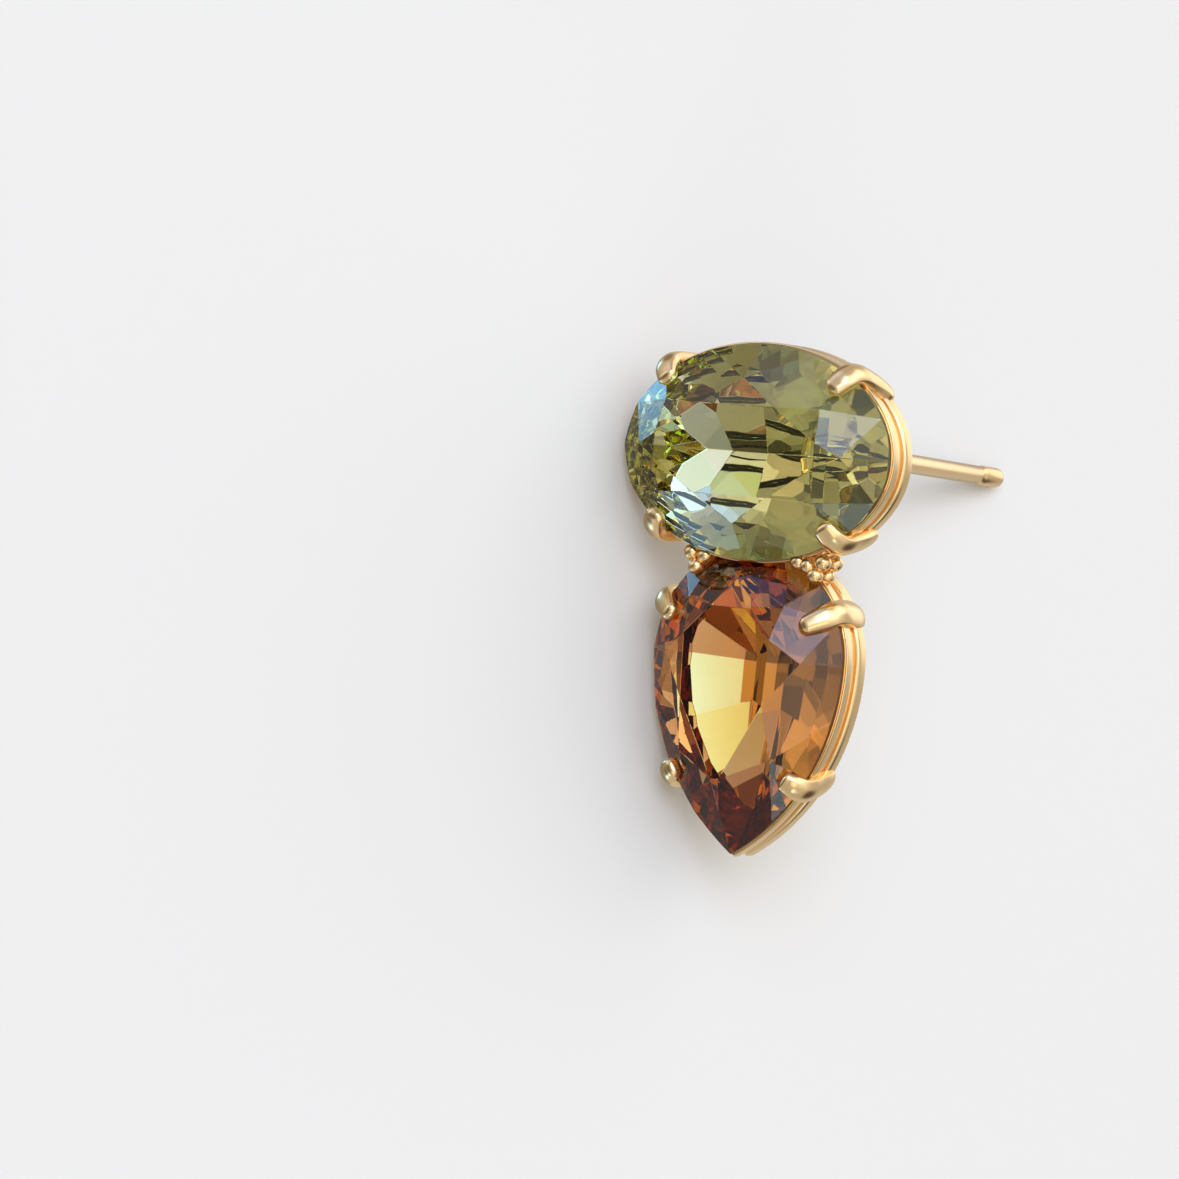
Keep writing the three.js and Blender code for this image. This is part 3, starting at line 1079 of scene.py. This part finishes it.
@dataclass
class Claws:
    """The eight claws, each swept from its back rail over the girdle on to the crown.

    Args:
        axes: the earring's axes.
        half_width: half a claw's width, in millimetres.
        half_thickness: half its thickness, in millimetres.
        end: its two ends' rounding: how far along, and how much of the size is left.
        crown_slope: how steeply the crown under its tip rises.
        bite: how far it presses on the crown, in millimetres.
        drift_from: how far in front of the girdle a foot's drift starts.
        drawn_in: how far a millimetre's drift draws the claw in, for each millimetre back.
        steps: steps between two stations.
        round_steps: points round a section.
        near: sections to either side of one that give its way along the claw.
    """

    axes: EarringAxes
    half_width: float = 0.41
    half_thickness: float = 0.25
    end: tuple[tuple[float, float], ...] = (
        (0.0, 1.0), (0.4, 0.92), (0.7, 0.71), (0.88, 0.47), (0.97, 0.24), (1.0, 0.1)
    )
    crown_slope: float = 0.69
    bite: float = 0.05
    drift_from: float = 0.3
    drawn_in: float = 0.06
    steps: int = 5
    round_steps: int = 40
    near: int = 3

    def stations(self, pair: ClawPair) -> list[Station]:
        """Returns a claw's sections from its foot to its tip."""
        w, h = self.half_width, self.half_thickness
        tip, share = -pair.reach, pair.tip
        nose = min(0.3, 0.45 * pair.reach)
        middle = (tip + nose - 0.06) / 2

        def lies(out: float, thickness: float) -> float:
            """Returns the depth at which the claw lies on the crown."""
            return self.crown_slope * out - self.bite - thickness

        foot = [
            Station(0.06 - 0.1 * t, 1.28 + 0.3 * t, 1.08 * w * k, 1.05 * h * k, 0.9 * (1 - t))
            for t, k in reversed(self.end)
        ]
        body = [
            Station(0.13, 1.0, 1.12 * w, 1.06 * h, 1.0),
            Station(0.17, 0.6, 1.12 * w, 1.08 * h, 1.0),
            Station(0.19, 0.24, 1.08 * w, 1.08 * h, 0.9),
            Station(0.12, -0.08, 1.02 * w, 1.04 * h, 0.7),
            Station(-0.06, -0.32, w, h, 0.5),
            Station(
                middle, lies(middle, 0.95 * h), (0.5 + 0.5 * share) * w, 0.97 * h, 0.25
            ),
        ]
        front = [
            Station(
                tip + nose * (1 - t),
                lies(tip + nose * (1 - t), 0.9 * h * (0.6 + 0.4 * k)),
                share * w * k,
                0.9 * h * k,
                0.1 * (1 - t),
            )
            for t, k in self.end
        ]
        return [*foot, *body, *front]

    @staticmethod
    def section(turn: float, crisp: float) -> tuple[float, float]:
        """Returns a point of a claw's section.

        The section is flat below, with upright sides and a domed top.

        Args:
            turn: the way round it, in radians, from one side over the top.
            crisp: how crisp the shoulders between the sides and the top are.

        Returns:
            Steps across and up, as shares of half the width and half the thickness.
        """
        c, s = math.cos(turn), math.sin(turn)
        side = math.copysign(abs(c) ** 0.65, c)
        if s < 0:
            return side, -(abs(s) ** 0.6)
        shoulder = math.radians(20)
        wall = 0.3
        rise = min(turn, math.pi - turn)
        if rise < shoulder:
            sharp = (math.copysign(1.0, c), wall * rise / shoulder)
        else:
            over = (rise - shoulder) / (math.pi / 2 - shoulder)
            x = math.cos(over * math.pi / 2)
            sharp = (math.copysign(x, c), wall + (1 - wall) * (1 - x * x))
        soft = (side, s)
        return tuple(a + crisp * (b - a) for a, b in zip(soft, sharp))

    def claw(self, pair: ClawPair, side: int, material) -> bpy.types.Object:
        """Builds one claw.

        Args:
            pair: the pair that it is one of.
            side: 1 for the right one, -1 for the left one.
            material: its finish.

        Returns:
            The piece.
        """
        name = f"{pair.name}_{'right' if side > 0 else 'left'}"
        drift = pair.drifts[0 if side > 0 else 1]
        lean = math.radians(pair.lean)
        out = Vector((side * math.cos(lean), 0, math.sin(lean)))
        across = Vector((-out.z, 0, out.x))
        widest = across if across.x * side > 0 else -across
        cross = Vector((side * pair.x, pair.front, pair.z))
        stations = self.smoothed(self.stations(pair))
        ends = self.steps * (len(self.end) - 1)
        drift_length = stations[0].back + self.drift_from
        centres = []
        for station in stations:
            share = max(0.0, (station.back + self.drift_from) / drift_length) ** 2
            outwards = station.out - self.drawn_in * abs(drift) * max(0.0, station.back)
            centres.append(
                cross + outwards * out + Vector((0, station.back, 0)) + drift * share * widest
            )
        rings = []
        for i, station in enumerate(stations):
            j = min(max(i, ends), len(stations) - 1 - ends)
            way = (centres[j + self.near] - centres[j - self.near]).normalized()
            up = way.cross(across).normalized()
            if up.dot(out) - up.y < 0:
                up = -up
            wide = up.cross(way)
            ring = []
            for k in range(self.round_steps):
                x, y = self.section(2 * math.pi * k / self.round_steps, station.crisp)
                p = centres[i] + station.width * x * wide + station.thickness * y * up
                ring.append(self.axes.point(*p))
            rings.append(ring)
        mesh = lofted(name, rings)
        smooth(mesh, sharp_from=60)
        return as_gold(new_piece(name, mesh), material)

    def smoothed(self, stations: Sequence[Station]) -> list[Station]:
        """Returns the stations with more between them on smooth curves."""
        made = []
        last = len(stations) - 1
        for i in range(last):
            a = stations[max(i - 1, 0)]
            b, c = stations[i], stations[i + 1]
            d = stations[min(i + 2, last)]
            for k in range(self.steps):
                t = k / self.steps
                made.append(Station(*(catmull_rom(*four, t) for four in zip(a, b, c, d))))
        made.append(stations[-1])
        return made

    def build(self, pairs: Iterable[ClawPair], material: bpy.types.Material) -> None:
        """Builds all the claws."""
        for pair in pairs:
            for side in (1, -1):
                self.claw(pair, side, material)


def catmull_rom(a: float, b: float, c: float, d: float, t: float) -> float:
    """Returns the value at t, from 0 to 1, between b and c on a smooth curve."""
    return 0.5 * (
        2 * b
        + (c - a) * t
        + (2 * a - 5 * b + 4 * c - d) * t * t
        + (3 * b - a - 3 * c + d) * t**3
    )


@dataclass
class BeadClusters:
    """The beads soldered in the wedges between the two collars.

    Args:
        axes: the earring's axes.
        tree: the tree that sets the beads.
        radius: a bead's radius, in millimetres.
        spread: how much larger or smaller a bead may be, as a share.
        rows: the depths of the rows of beads.
    """

    axes: EarringAxes
    tree: BeadTree
    radius: float = 0.27
    spread: float = 0.03
    rows: tuple[float, ...] = (0.34, 1.08)

    def build(self, clusters: dict[str, Sequence[tuple[float, float]]], material) -> None:
        """Builds the clusters.

        Args:
            clusters: for each cluster's name, its beads' places across and up.
            material: their finish.
        """
        for seed, (name, places) in enumerate(clusters.items()):
            points = bpy.data.meshes.new(f"{name}_points")
            points.from_pydata(
                [self.axes.point(x, y, z) for y in self.rows for x, z in places], [], []
            )
            mesh = self.tree.mesh(
                name,
                points,
                {
                    "Radius": self.radius * MM,
                    "Spread": self.spread,
                    "Seed": seed,
                    "Material": material,
                },
            )
            mesh.shade_smooth()
            as_gold(new_piece(name, mesh), material)


@dataclass
class Post:
    """The post with its notch and bulb, and the round pad it stands on.

    Args:
        axes: the earring's axes.
        pad_depth: how far back the pad's rear face is.
        lift: how far above the oval's middle the post stands.
        lean: how far its end drops, in degrees.
        radius: the post's radius, and `foot`, `notch` and `bulb` those of its parts.
        foot_depth: how far along the foot runs out.
        length: the post's length.
        pad_radius: the pad's radius.
        pad_thickness: its thickness.
        pad_edge: the rounding of its edge.
        sides: sides of a round section.
    """

    axes: EarringAxes
    pad_depth: float = 3.65
    lift: float = 0.33
    lean: float = 1.8
    radius: float = 0.33
    foot: float = 0.5
    foot_depth: float = 0.2
    length: float = 13.1
    notch: float = 0.27
    bulb: float = 0.35
    pad_radius: float = 1.45
    pad_thickness: float = 0.35
    pad_edge: float = 0.06
    sides: int = 64

    def turned(self, name: str, profile: Sequence[tuple[float, float]]) -> bpy.types.Object:
        """Turns a profile of radii and depths about the post's middle line."""
        lean = Matrix.Rotation(math.radians(-self.lean), 3, "X")
        rings = []
        for radius, depth in profile:
            ring = []
            for k in range(self.sides):
                turn = 2 * math.pi * k / self.sides
                p = lean @ Vector((radius * math.cos(turn), depth, radius * math.sin(turn)))
                ring.append(self.axes.point(p.x, self.pad_depth + p.y, self.lift + p.z))
            rings.append(ring)
        mesh = lofted(name, rings)
        smooth(mesh)
        return new_piece(name, mesh)

    def build(self, material: bpy.types.Material) -> None:
        """Builds the post and its pad."""
        fillet = [
            (
                self.radius + (self.foot - self.radius) * (1 - math.sin(t)),
                self.foot_depth * (1 - math.cos(t)),
            )
            for t in (k * math.pi / 16 for k in range(9))
        ]
        end, slack = self.length, 0.01
        neck = [
            (radius, end - before_end)
            for radius, before_end in (
                (self.radius, 1.86),
                (self.radius - slack, 1.83),
                (self.notch + slack, 1.76),
                (self.notch, 1.72),
                (self.notch, 1.58),
                (self.notch + slack, 1.54),
                (self.bulb - slack, 1.43),
                (self.bulb, 1.4),
            )
        ]
        dome = [
            (self.bulb * math.cos(t), end - self.bulb + self.bulb * math.sin(t))
            for t in (k * math.pi / 24 for k in range(11))
        ]
        as_gold(self.turned("post", [(self.foot, -0.05), *fillet, *neck, *dome]), material)
        edge, thickness = self.pad_edge, self.pad_thickness
        rim = [
            (self.pad_radius - edge + edge * math.sin(t), -edge + edge * math.cos(t))
            for t in (k * math.pi / 12 for k in range(7))
        ]
        pad = [(0.0, 0.0), (self.pad_radius - 0.2, 0.0), *rim]
        pad += [(self.pad_radius, -thickness), (0.0, -thickness)]
        as_gold(self.turned("ear_pad", pad), material)


# ---- stones ----------------------------------------------------------------------------


@dataclass
class CutStone:
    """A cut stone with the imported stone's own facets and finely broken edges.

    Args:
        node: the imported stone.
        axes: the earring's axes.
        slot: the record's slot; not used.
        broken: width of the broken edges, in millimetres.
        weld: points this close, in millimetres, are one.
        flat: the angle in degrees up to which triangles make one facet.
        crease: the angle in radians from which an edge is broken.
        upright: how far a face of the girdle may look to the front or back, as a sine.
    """

    node: str
    axes: EarringAxes
    slot: Slot
    broken: float = 0.02
    weld: float = 0.0002
    flat: float = 0.6
    crease: float = 0.07
    upright: float = 0.1

    def build(self, name: str, finishes: Sequence[bpy.types.Material]) -> bpy.types.Object:
        """Builds the stone.

        Args:
            name: the piece's name.
            finishes: the finishes of the crown, the girdle and the back.

        Returns:
            The piece.
        """
        work = bmesh.new()
        work.from_mesh(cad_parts[self.node].data)
        bmesh.ops.remove_doubles(work, verts=work.verts, dist=self.weld * MM)
        bmesh.ops.dissolve_limit(
            work,
            angle_limit=math.radians(self.flat),
            use_dissolve_boundaries=False,
            verts=work.verts,
            edges=work.edges,
        )
        creases = [
            e for e in work.edges if e.is_manifold and e.calc_face_angle() > self.crease
        ]
        bmesh.ops.bevel(
            work,
            geom=creases,
            offset=self.broken * MM,
            offset_type="WIDTH",
            segments=1,
            profile=0.5,
            affect="EDGES",
            clamp_overlap=True,
        )
        face_outwards(work)
        work.normal_update()
        for face in work.faces:
            face.smooth = False
            looks_back = face.normal.dot(self.axes.back)
            in_front, behind = looks_back < -self.upright, looks_back >= self.upright
            # upright girdle faces take slot 1, the girdle finish darkened with painted shadow
            face.material_index = 0 if in_front else 2 if behind else 1
        mesh = bpy.data.meshes.new(name)
        work.to_mesh(mesh)
        work.free()
        for finish in finishes:
            mesh.materials.append(finish)
        piece = new_piece(name, mesh)
        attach(piece, BODY)
        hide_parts(self.node)
        LOG.info("%s: %d faces", name, len(mesh.polygons))
        return piece


# ---- studio ----------------------------------------------------------------------------


def way_to(azimuth: float, elevation: float) -> Vector:
    """Returns the unit vector towards a place round the earring.

    Args:
        azimuth: degrees from +X towards +Y.
        elevation: degrees above the floor.
    """
    turn, rise = math.radians(azimuth), math.radians(elevation)
    return Vector((
        math.cos(rise) * math.cos(turn), math.cos(rise) * math.sin(turn), math.sin(rise)
    ))


def patch_group() -> bpy.types.NodeTree:
    """Builds the group that finds soft round patches of the surround.

    Returns:
        A group with a direction, the patch's middle and the cosines of its full and its
        outer half angle as inputs, and the patch's share of the direction as output.
    """
    group = NodeMaker(bpy.data.node_groups.new("soft_patch", "ShaderNodeTree"))
    given = group.takes(
        {"Direction": "Vector", "Middle": "Vector", "Full": "Float", "Outer": "Float"}
    )
    near = group.node(
        "ShaderNodeVectorMath",
        {0: given["Direction"], 1: given["Middle"]},
        operation="DOT_PRODUCT",
    ).outputs["Value"]
    share = group.node(
        "ShaderNodeMapRange",
        {"Value": near, "From Min": given["Outer"], "From Max": given["Full"]},
        interpolation_type="SMOOTHSTEP",
    )
    group.gives({"Share": ("Float", share.outputs[0])})
    return group.tree


@dataclass(frozen=True)
class Glow:
    """A soft round patch of the surround that gives light.

    Args:
        azimuth: degrees from +X towards +Y.
        elevation: degrees above the floor.
        full: half angle in degrees inside which it is full.
        outer: half angle in degrees at which it ends.
        radiance: the light that it adds, red, green and blue.
    """

    blend: ClassVar[str] = "ADD"
    azimuth: float
    elevation: float
    full: float
    outer: float
    radiance: tuple[float, float, float]


@dataclass(frozen=True)
class Card(Glow):
    """A soft round patch of the surround that leaves only `radiance`'s share of light."""

    blend: ClassVar[str] = "MULTIPLY"


@dataclass(frozen=True)
class Surround:
    """Light all round the earring: a slow gradient by height and patches on it.

    Args:
        heights: elevations in degrees with the gradient's value there.
        tint: the gradient's colour.
        patches: the glows and dark cards.
    """

    heights: tuple[tuple[float, float], ...]
    tint: tuple[float, float, float]
    patches: tuple[Glow, ...]

    def colour(
        self, tree: NodeMaker, way: bpy.types.NodeSocket, patch: bpy.types.NodeTree
    ) -> bpy.types.NodeSocket:
        """Adds the surround to a world's tree.

        Args:
            tree: the world's tree.
            way: the direction's socket.
            patch: the group from `patch_group`.

        Returns:
            The socket of its colour.
        """
        parts = tree.node("ShaderNodeSeparateXYZ", {0: way}).outputs
        height = tree.node("ShaderNodeMapRange", {"Value": parts["Z"], "From Min": -1.0})
        ramp = tree.node("ShaderNodeValToRGB", {0: height.outputs[0]})
        stops = ramp.color_ramp.elements
        while len(stops) < len(self.heights):
            stops.new(0.5)
        for stop, (elevation, value) in zip(stops, self.heights):
            stop.position = (1 + math.sin(math.radians(elevation))) / 2
            stop.color = (*(value * part for part in self.tint), 1.0)
        colour = ramp.outputs["Color"]
        for glow in self.patches:
            share = tree.node(
                "ShaderNodeGroup",
                {
                    "Direction": way,
                    "Middle": way_to(glow.azimuth, glow.elevation),
                    "Full": math.cos(math.radians(glow.full)),
                    "Outer": math.cos(math.radians(glow.outer)),
                },
                node_tree=patch,
            )
            colour = tree.mix(share.outputs[0], colour, (*glow.radiance, 1.0), glow.blend)
        return colour


@dataclass
class Studio:
    """Floor, lamp, world and camera."""

    axes: EarringAxes
    lamp_way: tuple[float, float] = (150, 60)
    lamp_distance: float = 0.5
    lamp_size: float = 0.35
    lamp_radiance: float = 1.06
    view_turn: float = -33.65
    view_pitch: float = 1.45
    view_roll: float = 4.69
    distance: float = 135.64
    oval_right: float = 5.299
    oval_above: float = 4.442
    lens: float = 128.24

    def camera(self) -> None:
        """Sets the camera up by its turn, pitch and roll against the earring."""
        turn = (
            Matrix.Rotation(math.radians(self.view_roll), 3, "Y")
            @ Matrix.Rotation(math.radians(self.view_pitch), 3, "X")
            @ Matrix.Rotation(math.radians(self.view_turn), 3, "Z")
        ).transposed()
        to_frame = Matrix((self.axes.across, self.axes.back, self.axes.up)).transposed()
        right, forward, up = (
            to_frame @ (turn @ Vector(v)) for v in ((1, 0, 0), (0, 1, 0), (0, 0, 1))
        )
        offset = Vector((-self.oval_right, -self.distance, -self.oval_above))
        data = bpy.data.cameras.new("camera")
        data.lens = self.lens
        data.sensor_width = 36.0
        data.clip_start = 0.01
        camera = new_piece("camera", data)
        place = Matrix((right, up, -forward)).transposed().to_4x4()
        place.translation = self.axes.point(*(turn @ offset))
        camera.matrix_world = place
        bpy.context.scene.camera = camera

    def floor(self) -> None:
        """Lays the floor and the lamp that lights it.

        The metal and the stones look past both, into the surround.
        """
        half = 3.0
        corners = [(-half, -half, 0), (half, -half, 0), (half, half, 0), (-half, half, 0)]
        mesh = bpy.data.meshes.new("floor")
        mesh.from_pydata(corners, [], [(0, 1, 2, 3)])
        mesh.materials.append(FloorFinish().material())
        floor = new_piece("floor", mesh)
        data = bpy.data.lights.new("floor_lamp", "AREA")
        data.shape = "DISK"
        data.size = self.lamp_size
        data.energy = self.lamp_radiance * (math.pi * self.lamp_size / 2) ** 2
        lamp = new_piece("floor_lamp", data)
        way = way_to(*self.lamp_way)
        lamp.location = self.lamp_distance * way
        lamp.rotation_euler = way.to_track_quat("Z", "Y").to_euler()
        for thing in (floor, lamp):
            thing.visible_glossy = False
            thing.visible_transmission = False

    def world(self) -> None:
        """Sets the surround, one that shows through the stones and one for the rest."""
        world = bpy.data.worlds.new("surround")
        world.use_nodes = True
        tree = NodeMaker(world.node_tree)
        way = tree.node("ShaderNodeTexCoord").outputs["Object"]
        patch = patch_group()
        colour = tree.mix(
            tree.node("ShaderNodeLightPath").outputs["Is Transmission Ray"],
            ROUND_METAL.colour(tree, way, patch),
            ROUND_STONES.colour(tree, way, patch),
        )
        tree.feed(world.node_tree.nodes["Background"].inputs["Color"], colour)
        bpy.context.scene.world = world

    def build(self) -> None:
        """Builds the studio."""
        self.camera()
        self.floor()
        self.world()
        scene = bpy.context.scene
        scene.view_settings.view_transform = "Standard"
        scene.cycles.max_bounces = 24
        scene.cycles.glossy_bounces = 20
        scene.cycles.transmission_bounces = 20


ROUND_STONES = Surround(
    heights=((-90, 0.9), (-55, 0.5), (-25, 0.4), (0, 0.35), (15, 0.2), (45, 0.3), (65, 0.6),
             (90, 0.8)),
    tint=(1.05, 0.98, 0.8),
    patches=(
        Glow(20, 0, 10, 30, (2.3, 5.0, 5.0)),
        Glow(55, 45, 10, 25, (1.4, 1.7, 3.5)),
        Glow(255, 30, 5, 15, (0.1, 0.15, 0.3)),
        Glow(240, 60, 5, 20, (0.3, 0.3, 0.0)),
        Glow(110, 70, 10, 35, (0.7, 1.9, 2.8)),
        Glow(175, 75, 5, 25, (0.0, 0.4, 2.0)),
        Glow(255, 70, 10, 40, (0.1, 0.2, 1.2)),
        Glow(25, -45, 15, 45, (1.2, 1.7, 1.6)),
        Glow(140, 5, 10, 25, (0.7, 0.7, 0.9)),
        Glow(145, -15, 5, 15, (0.3, 0.2, 0.2)),
        Glow(105, 0, 5, 15, (0.4, 0.5, 0.3)),
        Glow(105, 45, 5, 10, (0.4, 0.3, 0.5)),
        Glow(130, 40, 10, 30, (0.3, 0.3, 0.8)),
        Glow(70, 15, 5, 35, (0.5, 0.9, 2.5)),
        Glow(285, 10, 10, 30, (0.5, 0.45, 0.6)),
        Glow(180, 50, 5, 15, (0.5, 0.4, 0.2)),
        Glow(190, -60, 5, 10, (0.7, 0.7, 0.9)),
        Card(195, -45, 5, 20, (0.15, 0.15, 0.15)),
        Card(230, -5, 5, 15, (0.1, 0.1, 0.1)),
        Card(185, 5, 5, 15, (0.4, 0.4, 0.4)),
        Card(310, 20, 10, 30, (0.0, 0.0, 0.0)),
        Card(295, -50, 10, 40, (0.3, 0.3, 0.3)),
        Card(155, -30, 5, 10, (0.2, 0.2, 0.2)),
        Card(220, -35, 5, 10, (0.1, 0.1, 0.1)),
        Card(220, -60, 5, 10, (0.1, 0.1, 0.1)),
    ),
)
ROUND_METAL = Surround(
    heights=((-90, 0.25), (-60, 0.35), (-35, 0.6), (-10, 0.55), (10, 0.45), (45, 0.55),
             (70, 0.85), (90, 1.0)),
    tint=(1.0, 0.95, 0.86),
    patches=(
        Glow(20, 5, 10, 30, (0.8, 0.8, 0.8)),
        Glow(55, 40, 10, 30, (1.0, 1.0, 1.0)),
        Glow(110, 70, 10, 35, (0.7, 0.75, 0.8)),
        Glow(150, 50, 5, 15, (2.4, 2.2, 3.0)),
        Glow(215, 50, 5, 20, (1.2, 0.8, 0.5)),
        Glow(130, 40, 5, 15, (0.9, 1.6, 2.0)),
        Glow(120, 0, 5, 20, (0.2, 0.3, 0.8)),
        Glow(250, 25, 5, 10, (1.1, 1.6, 1.6)),
        Glow(95, -60, 5, 10, (0.8, 2.4, 3.8)),
        Glow(240, -50, 5, 15, (0.7, 1.4, 2.0)),
        Glow(150, -20, 10, 25, (0.5, 0.5, 0.5)),
        Card(195, -45, 5, 20, (0.25, 0.2, 0.15)),
        Card(310, 15, 10, 30, (0.15, 0.12, 0.1)),
        Card(180, -10, 15, 30, (0.25, 0.25, 0.25)),
        Card(85, -30, 10, 25, (0.4, 0.35, 0.3)),
    ),
)


# ---- earring ---------------------------------------------------------------------------

OVAL = OvalStoneSizes()
PEAR = PearStoneSizes()
CLAWS = (
    ClawPair("oval_claw_upper", 3.43, 2.61, 54, 0.68, 0.9, (0.8, -0.25), OVAL.front),
    ClawPair("oval_claw_lower", 3.43, -2.64, -56, 0.62, 0.9, (0.5, -0.2), OVAL.front),
    ClawPair("pear_claw_upper", 3.17, -5.02, 33, 0.9, 0.78, (0.0, 0.0), PEAR.front),
    ClawPair("pear_claw_lower", 2.44, -10.65, -31, 0.52, 0.85, (0.42, 0.0), PEAR.front),
)
CLUSTERS = {
    "right_beads": ((2.74, -3.37), (2.47, -3.8), (2.18, -3.52), (1.82, -3.42)),
    "left_beads": ((-2.24, -3.4), (-2.04, -3.85), (-1.72, -3.48)),
}


def main() -> None:
    """Builds the earring and its studio."""
    logging.basicConfig(level=logging.INFO, format="%(message)s")
    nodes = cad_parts
    axes = EarringAxes.measured(nodes["oval_stone"], nodes["pear_stone"])
    finishes = Finishes.made()
    Studio(axes).build()
    sweep = SweptTree()
    for name, stone in (("oval", OVAL), ("pear", PEAR)):
        Cup(name, axes, stone, sweep).build(finishes)
    Claws(axes).build(CLAWS, finishes.gold)
    BeadClusters(axes, BeadTree()).build(CLUSTERS, finishes.gold)
    Post(axes).build(finishes.gold)
    for node, slot, crystal in (
        ("oval_stone", Slot.OLIVE, finishes.olive),
        ("pear_stone", Slot.AMBER, finishes.amber),
    ):
        CutStone(node, axes, slot).build(f"{node}_cut", crystal)


if __name__ == "__main__":
    main()
